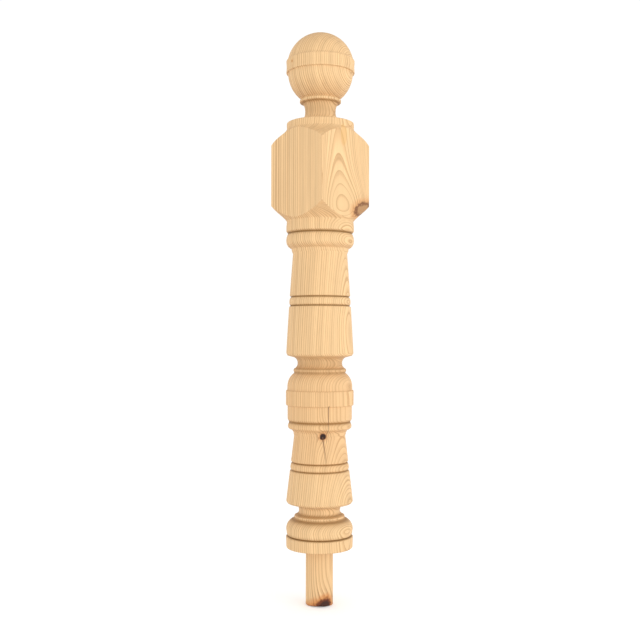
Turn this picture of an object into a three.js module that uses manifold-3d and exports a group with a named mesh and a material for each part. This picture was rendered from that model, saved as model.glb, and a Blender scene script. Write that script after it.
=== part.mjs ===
// Newel post turned from one square pine blank: a spigot, a moulded base, two tapered
// shafts, a block left square for the rails, and a ball cap on a thin neck.
// Millimetres, +Z up. The origin is on the axis, in the plane of the shoulder over the spigot.

import * as THREE from 'three';
import { mergeVertices } from 'three/addons/utils/BufferGeometryUtils.js';
import Module from 'manifold-3d';

const wasm = await Module();
wasm.setup();

// Driving dimensions. A rise is a height along the axis, measured from where the last part ends.
const BLANK_SIDE = 90;
const ARRIS_CHAMFER = 1;
const SIDES_AROUND = 36;

const SPIGOT = { radius: 17.5, length: 73.5 };

const PLINTH = { edge: 0.6, footRadius: 42.6, topRadius: 43.1, rise: 13.6 };
const BASE_QUIRK = { radius: 40, rise: 1.4, lift: 1.4 };
const BASE_TORUS = { footRadius: 41.8, radius: 42.9, lowerRise: 7.3, upperRise: 13.6, turn: 76 };
const BASE_FILLET = { seatRadius: 31.4, radius: 32.4, ease: 1.1, rise: 1.4, topRadius: 32.2, topEase: 0.8 };
const BASE_COVE = { radius: 26.4, lowerRise: 6.4, upperRise: 6.3, topRadius: 29 };

const LOWER_FOOT = { underRadius: 41.2, underRise: 3.2, edge: 2.7 };
const LOWER_SHAFT = {
  footRadius: 42.9, topRadius: 32.9, length: 84.1, swell: 0,
  grooves: [40, 49.7], grooveWall: 1.5, grooveDepth: 2.1, beadSwell: 0,
};

const MIDDLE_FILLET = { radius: 33.7, coveRise: 1.6, rise: 2.4, coveTop: 36.2, coveTopRise: 3.7 };
const MIDDLE_BEAD = { radius: 40.9, roundRise: 3.9, flatRise: 2, shoulderRadius: 40.1, shoulderRise: 1.7 };
const MIDDLE_QUIRK = { radius: 39.2, rise: 2.5, mouthRadius: 40.5, lift: 1.5 };
const MIDDLE_DRUM = { radius: 41.4, ease: 2.2, rise: 17.1 };
const MIDDLE_BAND = { radius: 43.6, ease: 0.6, rise: 18.2 };
const OVOLO = { radius: 41.8, fillet: 4.6, topRadius: 33.2, rise: 17.3, turn: 58 };
const NECK_FILLET = { radius: 33.9, ease: 1.6, rise: 2.1, topRadius: 33, topEase: 1.2 };
const NECK_QUIRK = { radius: 32.9, rise: 0.9 };
const NECK_COVE = { radius: 28.6, lowerRise: 6.9, upperRise: 7.5, topRadius: 33.1 };

const UPPER_FOOT = { underRadius: 41.6, underRise: 2.2, edge: 3.3 };
const UPPER_SHAFT = {
  footRadius: 43.3, topRadius: 34.9, length: 127.4, swell: 0.4,
  grooves: [60.7, 71.9], grooveWall: 1.5, grooveDepth: 2.2, beadSwell: 0.1,
};

const UPPER_FILLET = { radius: 36.5, coveRise: 3.6, rise: 1.6, coveTop: 37, coveTopRise: 1.4 };
const UPPER_BEAD = {
  radius: 43.6, lowerRise: 10, lowerTurn: 74, topRadius: 41.4, upperRise: 8.6, upperTurn: 40,
};
const UPPER_QUIRK = { radius: 40.6, rise: 0.7, mouthRadius: 42.3, lift: 1.2 };
const BLOCK_DRUM = { radius: 43.5, ease: 1.6, rise: 6, topRadius: 42.8, topRise: 6.7 };
const BLOCK = { shoulderRise: 20.5, shoulderWave: 0.9, squareRise: 76.8 };

const CAP_DRUM = { radius: 43.2, rise: 7.8, edge: 0.6, topRadius: 26, topRise: 2.4 };
const CAP_FOOT = { radius: 25, rise: 1.4 };
const CAP_NECK = { radius: 19.6, lowerRise: 11.6, upperRise: 10.2, topRadius: 23.8 };
const COLLAR = { radius: 26.5, edge: 1.4, rise: 3, topRadius: 24.2, topRise: 1.6 };
const BALL = { lowerRadius: 41.7, lowerEnd: 41.68, upperRadius: 42.9, upperStart: 42 };
const BALL_BAND = {
  stepRadius: 43.4, radius: 44, edge: 0.5, hollowDepth: 0.5, rise: 14.8, topRadius: 43.2, topRise: 1.2,
  stepRise: 1.3,
};

const WOOD = { color: 0xe9bf8c, roughness: 0.72, metalness: 0 };

// The turned outline grows upwards from the spigot's end, one point after another.
const outline = [new THREE.Vector2(0, -SPIGOT.length)];

function lastPoint() {
  return outline[outline.length - 1];
}

// A straight cut to a new radius, rising by the given height.
function cutTo(radius, rise = 0) {
  outline.push(new THREE.Vector2(radius, lastPoint().y + rise));
}

// Part of an elliptical quarter that leaves upright and turns inwards or outwards,
// through the given degrees.
function roundOver(radius, rise, turn = 90, steps = 3) {
  const start = lastPoint().clone();
  const whole = THREE.MathUtils.degToRad(turn);
  for (let step = 1; step <= steps; step += 1) {
    const angle = (whole * step) / steps;
    const across = (1 - Math.cos(angle)) / (1 - Math.cos(whole));
    const along = Math.sin(angle) / Math.sin(whole);
    outline.push(new THREE.Vector2(start.x + (radius - start.x) * across, start.y + rise * along));
  }
}

// The same quarter the other way round: it leaves level, or nearly so, and ends upright.
function roundUp(radius, rise, turn = 90, steps = 3) {
  const start = lastPoint().clone();
  const whole = THREE.MathUtils.degToRad(turn);
  for (let step = steps - 1; step >= 0; step -= 1) {
    const angle = (whole * step) / steps;
    const across = (1 - Math.cos(angle)) / (1 - Math.cos(whole));
    const along = Math.sin(angle) / Math.sin(whole);
    outline.push(new THREE.Vector2(radius + (start.x - radius) * across, start.y + rise * (1 - along)));
  }
}

// A scotia: a hollow that runs in to its throat and out again.
function cove({ radius, lowerRise, upperRise, topRadius }, turn = 70) {
  roundUp(radius, lowerRise, turn);
  roundOver(topRadius, upperRise, turn);
}

// A sharp groove: down to its bottom and out to the surface beyond.
function quirk({ radius, rise, mouthRadius, lift }) {
  cutTo(radius, rise);
  cutTo(mouthRadius, lift);
}

// A narrow upright band between two small hollows.
function coveFillet({ radius, coveRise, rise, coveTop, coveTopRise }) {
  cutTo(radius, coveRise);
  cutTo(radius, rise);
  cutTo(coveTop, coveTopRise);
}

// A narrow upright band with both edges eased, under a cove.
function edgeFillet({ radius, ease, rise, topRadius, topEase }) {
  cutTo(radius, ease);
  cutTo(radius, rise);
  cutTo(topRadius, topEase);
}

// A tapered shaft with a slight swell, and two sharp grooves with a half-round bead between them.
function shaft({ footRadius, topRadius, length, swell, grooves, grooveWall, grooveDepth, beadSwell }, steps = 6) {
  const foot = lastPoint().y;
  const surface = (height) => {
    const share = height / length;
    return THREE.MathUtils.lerp(footRadius, topRadius, share) + 4 * swell * share * (1 - share);
  };
  const pointAt = (height, extra = 0) => {
    outline.push(new THREE.Vector2(surface(height) + extra, foot + height));
  };
  const [low, high] = grooves;
  const middle = (low + high) / 2;
  pointAt(low / 2);
  pointAt(low - grooveWall);
  for (let step = 0; step <= steps; step += 1) {
    const angle = (Math.PI * step) / steps;
    const bead = (grooveDepth + beadSwell) * Math.sin(angle) - grooveDepth;
    pointAt(middle - (middle - low) * Math.cos(angle), bead);
  }
  pointAt(high + grooveWall);
  pointAt((high + length) / 2);
  pointAt(length);
}

// The slope between a round drum and the square block, a cone with a slight wave in it.
function blockShoulder(radius, steps = 5) {
  const start = lastPoint().clone();
  for (let step = 1; step <= steps; step += 1) {
    const share = step / steps;
    const fromDrum = radius > start.x ? share : 1 - share;
    const wave = BLOCK.shoulderWave * Math.sin(2 * Math.PI * fromDrum);
    const straight = THREE.MathUtils.lerp(start.x, radius, share);
    outline.push(new THREE.Vector2(straight - wave, start.y + BLOCK.shoulderRise * share));
  }
}

// Part of a sphere on the axis, from the last point up to a new radius.
// Both radii are on the same side of its widest place.
function spherePart(sphereRadius, endRadius, steps) {
  const start = lastPoint().clone();
  const below = endRadius > start.x;
  const tilt = (radius) => (below ? -1 : 1) * Math.acos(Math.min(radius / sphereRadius, 1));
  const first = tilt(start.x);
  const last = tilt(endRadius);
  for (let step = 1; step <= steps; step += 1) {
    const angle = THREE.MathUtils.lerp(first, last, step / steps);
    const height = start.y + sphereRadius * (Math.sin(angle) - Math.sin(first));
    outline.push(new THREE.Vector2(sphereRadius * Math.cos(angle), height));
  }
}

function turnSpigot() {
  cutTo(SPIGOT.radius);
  cutTo(SPIGOT.radius, SPIGOT.length);
}

function turnBase() {
  cutTo(PLINTH.footRadius - PLINTH.edge);
  cutTo(PLINTH.footRadius, PLINTH.edge);
  cutTo(PLINTH.topRadius, PLINTH.rise);
  quirk({ ...BASE_QUIRK, mouthRadius: BASE_TORUS.footRadius });
  cutTo(BASE_TORUS.radius, BASE_TORUS.lowerRise);
  roundOver(BASE_FILLET.seatRadius, BASE_TORUS.upperRise, BASE_TORUS.turn, 5);
  edgeFillet(BASE_FILLET);
  cove(BASE_COVE);
}

function turnLowerShaft() {
  cutTo(LOWER_FOOT.underRadius, LOWER_FOOT.underRise);
  cutTo(LOWER_SHAFT.footRadius, LOWER_FOOT.edge);
  shaft(LOWER_SHAFT);
}

function turnMiddle() {
  coveFillet(MIDDLE_FILLET);
  roundUp(MIDDLE_BEAD.radius, MIDDLE_BEAD.roundRise);
  cutTo(MIDDLE_BEAD.radius, MIDDLE_BEAD.flatRise);
  cutTo(MIDDLE_BEAD.shoulderRadius, MIDDLE_BEAD.shoulderRise);
  quirk(MIDDLE_QUIRK);
  cutTo(MIDDLE_DRUM.radius, MIDDLE_DRUM.ease);
  cutTo(MIDDLE_DRUM.radius, MIDDLE_DRUM.rise);
  cutTo(MIDDLE_BAND.radius - MIDDLE_BAND.ease);
  cutTo(MIDDLE_BAND.radius, MIDDLE_BAND.ease);
  cutTo(MIDDLE_BAND.radius, MIDDLE_BAND.rise);
  cutTo(MIDDLE_BAND.radius - MIDDLE_BAND.ease, MIDDLE_BAND.ease);
  cutTo(OVOLO.radius);
  cutTo(OVOLO.radius, OVOLO.fillet);
  roundOver(OVOLO.topRadius, OVOLO.rise, OVOLO.turn, 4);
  cutTo(NECK_QUIRK.radius, NECK_QUIRK.rise);
  edgeFillet(NECK_FILLET);
  cove(NECK_COVE);
}

function turnUpperShaft() {
  cutTo(UPPER_FOOT.underRadius, UPPER_FOOT.underRise);
  cutTo(UPPER_SHAFT.footRadius, UPPER_FOOT.edge);
  shaft(UPPER_SHAFT);
}

function turnBeadUnderBlock() {
  coveFillet(UPPER_FILLET);
  roundUp(UPPER_BEAD.radius, UPPER_BEAD.lowerRise, UPPER_BEAD.lowerTurn, 4);
  roundOver(UPPER_BEAD.topRadius, UPPER_BEAD.upperRise, UPPER_BEAD.upperTurn, 2);
  quirk(UPPER_QUIRK);
  cutTo(BLOCK_DRUM.radius, BLOCK_DRUM.ease);
  cutTo(BLOCK_DRUM.radius, BLOCK_DRUM.rise);
  cutTo(BLOCK_DRUM.topRadius, BLOCK_DRUM.topRise);
}

// The turning reaches the blank's corners here, so the four faces stay square and sawn.
function turnBlock() {
  const cornerRadius = BLANK_SIDE / Math.SQRT2;
  blockShoulder(cornerRadius);
  cutTo(cornerRadius, BLOCK.squareRise);
  blockShoulder(CAP_DRUM.radius);
}

function turnNeck() {
  cutTo(CAP_DRUM.radius, CAP_DRUM.rise);
  cutTo(CAP_DRUM.radius - CAP_DRUM.edge, CAP_DRUM.edge);
  cutTo(CAP_DRUM.topRadius, CAP_DRUM.topRise);
  cutTo(CAP_FOOT.radius, CAP_FOOT.rise);
  cove(CAP_NECK, 90);
  cutTo(COLLAR.radius, COLLAR.edge);
  cutTo(COLLAR.radius, COLLAR.rise);
  cutTo(COLLAR.topRadius, COLLAR.topRise);
}

function turnBall() {
  spherePart(BALL.lowerRadius, BALL.lowerEnd, 6);
  cutTo(BALL_BAND.stepRadius);
  cutTo(BALL_BAND.radius, BALL_BAND.edge);
  cutTo(BALL_BAND.radius - BALL_BAND.hollowDepth, BALL_BAND.rise / 2);
  cutTo(BALL_BAND.radius, BALL_BAND.rise / 2);
  cutTo(BALL_BAND.topRadius, BALL_BAND.topRise);
  cutTo(BALL.upperStart, BALL_BAND.stepRise);
  spherePart(BALL.upperRadius, 0, 8);
}

// A triangle that was squeezed flat at the axis has a corner twice, and is dropped.
function withoutFlatTriangles(index) {
  const kept = [];
  for (let at = 0; at < index.length; at += 3) {
    const [a, b, c] = index.slice(at, at + 3);
    if (a !== b && b !== c && c !== a) {
      kept.push(a, b, c);
    }
  }
  return kept;
}

function solidFrom(geometry) {
  geometry.deleteAttribute('normal');
  geometry.deleteAttribute('uv');
  const merged = mergeVertices(geometry, 1e-4);
  return new wasm.Manifold(new wasm.Mesh({
    numProp: 3,
    vertProperties: new Float32Array(merged.attributes.position.array),
    triVerts: new Uint32Array(withoutFlatTriangles(Array.from(merged.index.array))),
  }));
}

function geometryFrom(solid) {
  const { vertProperties, triVerts } = solid.getMesh();
  const shared = new THREE.BufferGeometry();
  shared.setAttribute('position', new THREE.BufferAttribute(new Float32Array(vertProperties), 3));
  shared.setIndex(Array.from(triVerts));
  const faceted = shared.toNonIndexed();
  faceted.computeVertexNormals();
  return faceted;
}

// The outline, spun about the axis, with one line of corners along each arris of the blank.
function turnedSolid() {
  const turned = new THREE.LatheGeometry(outline, SIDES_AROUND, Math.PI / SIDES_AROUND);
  turned.rotateX(Math.PI / 2);
  return solidFrom(turned);
}

// The square blank with eased arrises, as long as the post.
function blankSolid() {
  const half = BLANK_SIDE / 2;
  const eased = half - ARRIS_CHAMFER;
  const section = new THREE.Shape([
    [eased, -half], [half, -eased], [half, eased], [eased, half],
    [-eased, half], [-half, eased], [-half, -eased], [-eased, -half],
  ].map(([x, y]) => new THREE.Vector2(x, y)));
  const spare = 1;
  const length = lastPoint().y + SPIGOT.length + 2 * spare;
  const blank = new THREE.ExtrudeGeometry(section, { depth: length, bevelEnabled: false });
  blank.translate(0, 0, -SPIGOT.length - spare);
  return solidFrom(blank);
}

turnSpigot();
turnBase();
turnLowerShaft();
turnMiddle();
turnUpperShaft();
turnBeadUnderBlock();
turnBlock();
turnNeck();
turnBall();

const post = new THREE.Mesh(
  geometryFrom(turnedSolid().intersect(blankSolid())),
  new THREE.MeshStandardMaterial(WOOD),
);
post.name = 'newel_post';

const newel = new THREE.Group();
newel.add(post);

export default newel;
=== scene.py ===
# %% [markdown]
# # A turned newel post in bare pine
# The object is a stair newel: one square length of pine, turned on a lathe above and below a block that
# stays square for the rails. Below is a round spigot, above are a thin neck and a ball.
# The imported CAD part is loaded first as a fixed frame. It gives the real sizes, and the finer model made
# here takes its place and stays inside its box. `Sizes` is a plain holder of named numbers, most of them
# in millimetres.

import math
from types import SimpleNamespace as Sizes

import bpy
import numpy as np
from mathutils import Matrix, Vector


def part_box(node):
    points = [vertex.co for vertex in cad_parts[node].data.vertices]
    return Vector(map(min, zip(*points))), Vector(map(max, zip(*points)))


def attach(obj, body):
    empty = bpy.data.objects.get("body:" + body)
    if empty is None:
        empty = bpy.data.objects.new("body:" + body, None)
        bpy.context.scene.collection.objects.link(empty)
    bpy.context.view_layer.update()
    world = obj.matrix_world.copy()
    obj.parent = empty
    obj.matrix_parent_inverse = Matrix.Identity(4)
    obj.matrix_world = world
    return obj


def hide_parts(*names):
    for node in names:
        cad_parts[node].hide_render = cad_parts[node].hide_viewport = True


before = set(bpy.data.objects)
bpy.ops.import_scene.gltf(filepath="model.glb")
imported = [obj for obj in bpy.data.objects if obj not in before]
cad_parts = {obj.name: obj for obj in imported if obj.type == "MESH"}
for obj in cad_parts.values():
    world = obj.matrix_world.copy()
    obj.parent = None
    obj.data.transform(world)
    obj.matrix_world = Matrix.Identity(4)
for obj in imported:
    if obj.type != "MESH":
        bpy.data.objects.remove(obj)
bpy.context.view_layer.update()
low_corner, high_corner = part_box("newel_post")
POST_BOTTOM = low_corner[2]
POST_TOP = high_corner[2]
MM = 0.001
HALF_SIDE = round(high_corner[0] / MM, 3)
SPIGOT_END = round(POST_BOTTOM / MM, 3)


def add_object(name, data):
    """A new object in the scene that holds the data."""
    made = bpy.data.objects.new(name, data)
    bpy.context.collection.objects.link(made)
    return made


print(f"frame: post from {POST_BOTTOM:.4f} to {POST_TOP:.4f} m, block {2 * HALF_SIDE:.0f} mm square")

# %% [markdown]
# ## The camera
# The rings of the turning are circles, and in the photograph each one is an ellipse. Its flatness gives
# the height of the eye and the distance, and the lens follows from them. The camera stands level, turned
# 43 degrees round the post, so that one edge of the block is almost in the middle. A level camera keeps
# the post's sides parallel, and a small vertical shift of the lens puts the post in the middle.

# %% Camera
PICTURE_PIXELS = 640
FOCAL_PIXELS = 920.0
PIXELS_PER_METRE = 776.0
EYE_LEVEL_PIXEL = 335.0
AXIS_PIXEL = 319.9
SHOULDER_PIXEL = 546.6
SENSOR_MM = 36.0
NEAREST_SEEN = 0.05
CAMERA_AZIMUTH = math.radians(43.0)
CAMERA_LEAN = math.radians(-0.13)
CAMERA_DISTANCE = FOCAL_PIXELS / PIXELS_PER_METRE
EYE_HEIGHT = (SHOULDER_PIXEL - EYE_LEVEL_PIXEL) / PIXELS_PER_METRE


def place_round(azimuth, distance, height):
    """A point on a circle round the post: zero is the camera's side, and it turns to the camera's right."""
    angle = CAMERA_AZIMUTH + math.radians(azimuth)
    return distance * math.sin(angle), -distance * math.cos(angle), height


def add_camera():
    """A level camera at the photograph's distance and height, with its lens shifted to frame the post."""
    lens = bpy.data.cameras.new("photo_camera")
    lens.sensor_width = SENSOR_MM
    lens.lens = SENSOR_MM * FOCAL_PIXELS / PICTURE_PIXELS
    lens.shift_x = (PICTURE_PIXELS / 2 - AXIS_PIXEL) / PICTURE_PIXELS
    lens.shift_y = (EYE_LEVEL_PIXEL - PICTURE_PIXELS / 2) / PICTURE_PIXELS
    lens.clip_start = NEAREST_SEEN
    holder = add_object("photo_camera", lens)
    holder.location = place_round(0.0, CAMERA_DISTANCE, EYE_HEIGHT)
    holder.rotation_euler = (math.radians(90.0), CAMERA_LEAN, CAMERA_AZIMUTH)
    bpy.context.scene.camera = holder


add_camera()
print(f"camera {CAMERA_DISTANCE:.3f} m away, eye {EYE_HEIGHT:.3f} m above the shoulder")

# %% [markdown]
# ## The light and the floor
# The photograph is a catalogue picture: white all round, and soft light with a little more of it from
# the right, so the block's right face is paler than its left one. What faces up is darker than what
# faces down, so most of the light comes from the sides and off the white floor. The sky is white at the
# horizon and greyer overhead, and two large lamps do the rest. A large lamp gives soft edges, which is
# what a tent of white cloth does in a studio.

# %% Light and floor
FLOOR_SIZE = 14.0
PAPER_WHITE = (0.9, 0.9, 0.9, 1.0)
PAPER_ROUGHNESS = 0.9
PAPER_GLOW = 0.24
WHITE = (1.0, 1.0, 1.0, 1.0)
SKY_LOW = 1.04
SKY_TOP = 0.8
SKY_FADE = (0.3, 0.9)
LAMPS = {
    # degrees to the right of the camera's side, metres, and watts
    "key_right": dict(azimuth=52.0, height=0.45, distance=1.9, size=1.5, watts=11.0),
    "fill_left": dict(azimuth=-35.0, height=0.3, distance=2.1, size=1.7, watts=4.5),
}


def add_lamp(name, azimuth, height, distance, size, watts):
    """A square soft lamp that looks at the middle of the post."""
    light = bpy.data.lights.new(name, "AREA")
    light.size = size
    light.energy = watts
    lamp = add_object(name, light)
    drop = height - (POST_BOTTOM + POST_TOP) / 2
    lamp.location = place_round(azimuth, distance, height)
    lamp.rotation_euler = (math.atan2(distance, drop), 0.0, CAMERA_AZIMUTH + math.radians(azimuth))


def lit_paper():
    """Plain white paper on a light table: it glows a little, so the mouldings get light from below."""
    material = bpy.data.materials.new("white_paper")
    material.use_nodes = True
    shader = material.node_tree.nodes["Principled BSDF"]
    for name, value in (("Base Color", PAPER_WHITE), ("Roughness", PAPER_ROUGHNESS),
                        ("Emission Color", WHITE), ("Emission Strength", PAPER_GLOW)):
        shader.inputs[name].default_value = value
    return material


def add_floor():
    """A wide white sheet at the spigot's end."""
    half = FLOOR_SIZE / 2
    mesh = bpy.data.meshes.new("floor")
    corners = [(-half, -half), (half, -half), (half, half), (-half, half)]
    mesh.from_pydata([(x, y, POST_BOTTOM) for x, y in corners], [], [(0, 1, 2, 3)])
    mesh.materials.append(lit_paper())
    return add_object("floor", mesh)


def add_sky():
    """A sky that fades from white at the horizon to grey overhead, by the height of each direction."""
    world = bpy.data.worlds.new("white_sky")
    world.use_nodes = True
    nodes, links = world.node_tree.nodes, world.node_tree.links
    direction = nodes.new("ShaderNodeTexCoord").outputs["Generated"]
    height = nodes.new("ShaderNodeSeparateXYZ")
    links.new(direction, height.inputs["Vector"])
    fade = nodes.new("ShaderNodeMapRange")
    fade.interpolation_type = "SMOOTHSTEP"
    for name, value in (("From Min", SKY_FADE[0]), ("From Max", SKY_FADE[1]),
                        ("To Min", SKY_LOW), ("To Max", SKY_TOP)):
        fade.inputs[name].default_value = value
    links.new(height.outputs["Z"], fade.inputs["Value"])
    links.new(fade.outputs["Result"], nodes["Background"].inputs["Strength"])
    nodes["Background"].inputs["Color"].default_value = WHITE
    bpy.context.scene.world = world


for lamp_name, settings in LAMPS.items():
    add_lamp(lamp_name, **settings)
add_floor()
add_sky()
bpy.context.scene.view_settings.view_transform = "Standard"
print(f"{len(LAMPS)} lamps, a floor at {POST_BOTTOM:.4f} m and a white sky")

# %% [markdown]
# ## The outline
# A turner works from the half-section: how far the wood stands from the axis at each height. The same
# outline is built here from the bottom up, out of straight cuts and parts of ellipses. It could be drawn
# as a curve and spun with a Screw modifier, but then the square block would need a boolean cut. As plain
# arrays the outline can be smoothed, measured and joined to the block in the same formula. Places that
# are dark in the photograph, such as the grooves, are noted on the way. The finish paints them darker,
# as painted shade in the hollows and on the ball's top, and as dust in the grooves.

# %% Outline tools
CURVE_STEPS = 24
WALK_STEP = 0.1
QUIRK_SHADE = (1.0, 2.0)

pieces = [np.array([[0.0, SPIGOT_END]])]
dark_places = []


def last_point():
    """Radius and height where the outline ends so far."""
    return pieces[-1][-1]


def cut_to(radius, rise=0.0):
    """A straight cut to a new radius, a rise further up."""
    pieces.append(np.array([[radius, last_point()[1] + rise]]))


def arc_shares(turn, first, last):
    """Shares of an ellipse's arc: across is (1 - cos a) / (1 - cos turn), along is sin a / sin turn."""
    whole = math.radians(turn)
    angle = whole * np.linspace(first, last, CURVE_STEPS + 1)[1:]
    return (1 - np.cos(angle)) / (1 - math.cos(whole)), np.sin(angle) / math.sin(whole)


def round_over(radius, rise, turn=90.0):
    """An arc that leaves upright and bends over to a new radius."""
    start = last_point()
    across, along = arc_shares(turn, 0.0, 1.0)
    pieces.append(np.column_stack([start[0] + (radius - start[0]) * across, start[1] + rise * along]))


def round_up(radius, rise, turn=90.0):
    """The same arc backwards: it leaves nearly level and ends upright."""
    start = last_point()
    across, along = arc_shares(turn, 1.0, 0.0)
    pieces.append(np.column_stack([radius + (start[0] - radius) * across, start[1] + rise * (1 - along)]))


# A dark place is painted darker by the finish: painted shade in a hollow, under the collar or on the ball's
# top, with dust where it is a groove.
def darken(darkness, reach, lift=0.0):
    """Note a dark place, a lift above the last point: how dark it is, and how far that reaches."""
    dark_places.append((last_point()[1] + lift, darkness, reach))


def cove(throat, lower_rise, upper_rise, top, shade, turn=70.0):
    """A hollow that runs in to its throat and out again, with its shade noted."""
    darken(*shade)
    round_up(throat, lower_rise, turn)
    round_over(top, upper_rise, turn)


def fillet(radius, ease, rise, top, top_ease):
    """A narrow upright band, with a slope up to it and another one away from it."""
    cut_to(radius, ease)
    cut_to(radius, rise)
    cut_to(top, top_ease)


def quirk(radius, rise, mouth, lift):
    """A sharp dark groove: down to its bottom and out to the surface beyond."""
    cut_to(radius, rise)
    darken(*QUIRK_SHADE)
    cut_to(mouth, lift)


def sphere_part(sphere_radius, end_radius):
    """Part of a sphere on the axis: r = R cos a and z = R sin a, from the last point to a new radius."""
    start = last_point()
    side = -1.0 if end_radius > start[0] else 1.0
    first = side * math.acos(min(start[0] / sphere_radius, 1.0))
    last = side * math.acos(min(end_radius / sphere_radius, 1.0))
    angle = np.linspace(first, last, 2 * CURVE_STEPS + 1)[1:]
    height = start[1] + sphere_radius * (np.sin(angle) - math.sin(first))
    pieces.append(np.column_stack([sphere_radius * np.cos(angle), height]))


print("outline tools ready, first point", last_point())

# %% [markdown]
# ## The foot
# The spigot goes down into a socket when the post is fitted. Over it are a plain plinth, a fat torus
# between two narrow grooves, and a cove under the lower shaft. A fillet or cove is one call with named
# sizes, and the cuts follow each other as they do up the post.

# %% Spigot and base
SPIGOT = Sizes(radius=17.5, length=-SPIGOT_END)
PLINTH = Sizes(foot=42.6, top=43.1, edge=0.6, rise=13.6)
TORUS = Sizes(foot=41.8, radius=42.9, lower_rise=7.3, upper_rise=13.6, seat=31.4, turn=76.0)
TORUS_SHADE = (0.7, 3.4, -1.2)

cut_to(SPIGOT.radius)
cut_to(SPIGOT.radius, SPIGOT.length)
cut_to(PLINTH.foot - PLINTH.edge)
cut_to(PLINTH.foot, PLINTH.edge)
cut_to(PLINTH.top, PLINTH.rise)
quirk(radius=40.0, rise=1.4, mouth=TORUS.foot, lift=1.4)
cut_to(TORUS.radius, TORUS.lower_rise)
round_over(TORUS.seat, TORUS.upper_rise, TORUS.turn)
darken(*TORUS_SHADE)
fillet(radius=32.4, ease=1.1, rise=1.4, top=32.2, top_ease=0.8)
cove(throat=26.4, lower_rise=6.4, upper_rise=6.3, top=29.0, shade=(0.62, 2.4, 2.0))
print(f"base ends at {last_point()[1]:.1f} mm")

# %% [markdown]
# ## The shafts
# Both shafts are cones that grow thinner upwards, with two sharp grooves round them and a rounded bead
# between the grooves. A shaft is a straight line from foot to top plus a little swell. The grooves'
# outer walls are straight cuts, and the bead is half an ellipse that rises from one groove to the other.

# %% Shaft tool and lower shaft
GROOVE_WALL = 1.5
GROOVE_DEPTH = 2.2
GROOVE_SHADE = (1.0, 1.5)


def shaft(under, under_rise, edge, foot, top, length, grooves, swell=0.0, bead_swell=0.0):
    """Radius = foot + (top - foot) u + 4 swell u (1 - u), less the grooves, plus an arch between them."""
    cut_to(under, under_rise)
    cut_to(foot, edge)
    height = np.linspace(0.0, length, int(length / WALK_STEP) + 1)[1:]
    share = height / length
    radius = foot + (top - foot) * share + 4 * swell * share * (1 - share)
    low, high = grooves
    outside = np.maximum(low - height, height - high)
    across = (height - (low + high) / 2) / ((high - low) / 2)
    wall = GROOVE_DEPTH * np.clip(1 - outside / GROOVE_WALL, 0, 1)
    bead = (GROOVE_DEPTH + bead_swell) * np.sqrt(np.clip(1 - across ** 2, 0, 1))
    for groove_height in grooves:
        darken(*GROOVE_SHADE, groove_height)
    pieces.append(np.column_stack([radius - wall + bead, last_point()[1] + height]))


shaft(under=41.2, under_rise=3.2, edge=2.7, foot=42.9, top=32.9, length=84.1, grooves=(40.0, 49.7))
print(f"lower shaft ends at {last_point()[1]:.1f} mm")

# %% [markdown]
# ## The middle mouldings
# From below: a small fillet, a bead, a groove, a drum, a broad band a little thicker than it, an ovolo
# that closes in to a narrow fillet, and a second cove. The upper shaft stands on it, made by the same
# tool as the lower one.

# %% Middle and upper shaft
MIDDLE_BEAD = Sizes(radius=40.9, round_rise=3.9, flat_rise=2.0, top=40.1, top_rise=1.7)
DRUM = Sizes(radius=41.4, ease=2.2, rise=17.1)
BAND = Sizes(radius=43.6, ease=0.6, rise=18.2)
OVOLO = Sizes(radius=41.8, fillet=4.6, top=33.2, rise=17.3, turn=58.0)
NECK_QUIRK = Sizes(radius=32.9, rise=0.9)
NECK_QUIRK_SHADE = (0.6, 2.2)
NECK_FILLET_SHADE = (0.5, 2.5)

fillet(radius=33.7, ease=1.6, rise=2.4, top=36.2, top_ease=3.7)
round_up(MIDDLE_BEAD.radius, MIDDLE_BEAD.round_rise)
cut_to(MIDDLE_BEAD.radius, MIDDLE_BEAD.flat_rise)
cut_to(MIDDLE_BEAD.top, MIDDLE_BEAD.top_rise)
quirk(radius=39.2, rise=2.5, mouth=40.5, lift=1.5)
cut_to(DRUM.radius, DRUM.ease)
cut_to(DRUM.radius, DRUM.rise)
cut_to(BAND.radius - BAND.ease)
cut_to(BAND.radius, BAND.ease)
cut_to(BAND.radius, BAND.rise)
cut_to(BAND.radius - BAND.ease, BAND.ease)
cut_to(OVOLO.radius)
cut_to(OVOLO.radius, OVOLO.fillet)
round_over(OVOLO.top, OVOLO.rise, OVOLO.turn)
cut_to(NECK_QUIRK.radius, NECK_QUIRK.rise)
darken(*NECK_QUIRK_SHADE)
fillet(radius=33.9, ease=1.6, rise=2.1, top=33.0, top_ease=1.2)
darken(*NECK_FILLET_SHADE)
cove(throat=28.6, lower_rise=6.9, upper_rise=7.5, top=33.1, shade=(0.28, 9.0, 6.9))
shaft(under=41.6, under_rise=2.2, edge=3.3, foot=43.3, top=34.9, length=127.4, grooves=(60.7, 71.9),
      swell=0.4, bead_swell=0.1)
print(f"upper shaft ends at {last_point()[1]:.1f} mm")

# %% [markdown]
# ## The block's shoulders
# Where the turning meets the square block, the outline runs out past the block's faces: it is a cone with
# a slight wave. It could be cut to the square here, but the square's radius changes with the angle, so the
# outline runs to the block's corners and the square is brought in later.

# %% Bead, drum and block
UPPER_BEAD = Sizes(radius=43.6, lower_rise=10.0, lower_turn=74.0, top=41.4, upper_rise=8.6, upper_turn=40.0)
CAP_DRUM = Sizes(radius=43.2, rise=7.8, edge=0.6, top=26.0, top_rise=2.4)
DRUM_TOP = 42.8
CORNER_RADIUS = HALF_SIDE * math.sqrt(2.0)
SQUARE_RISE = 76.8
SHOULDER_RISE = 20.5
SHOULDER_EASE = 0.03
LOWER_WAVE = 0.4
UPPER_WAVE = 0.8


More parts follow.
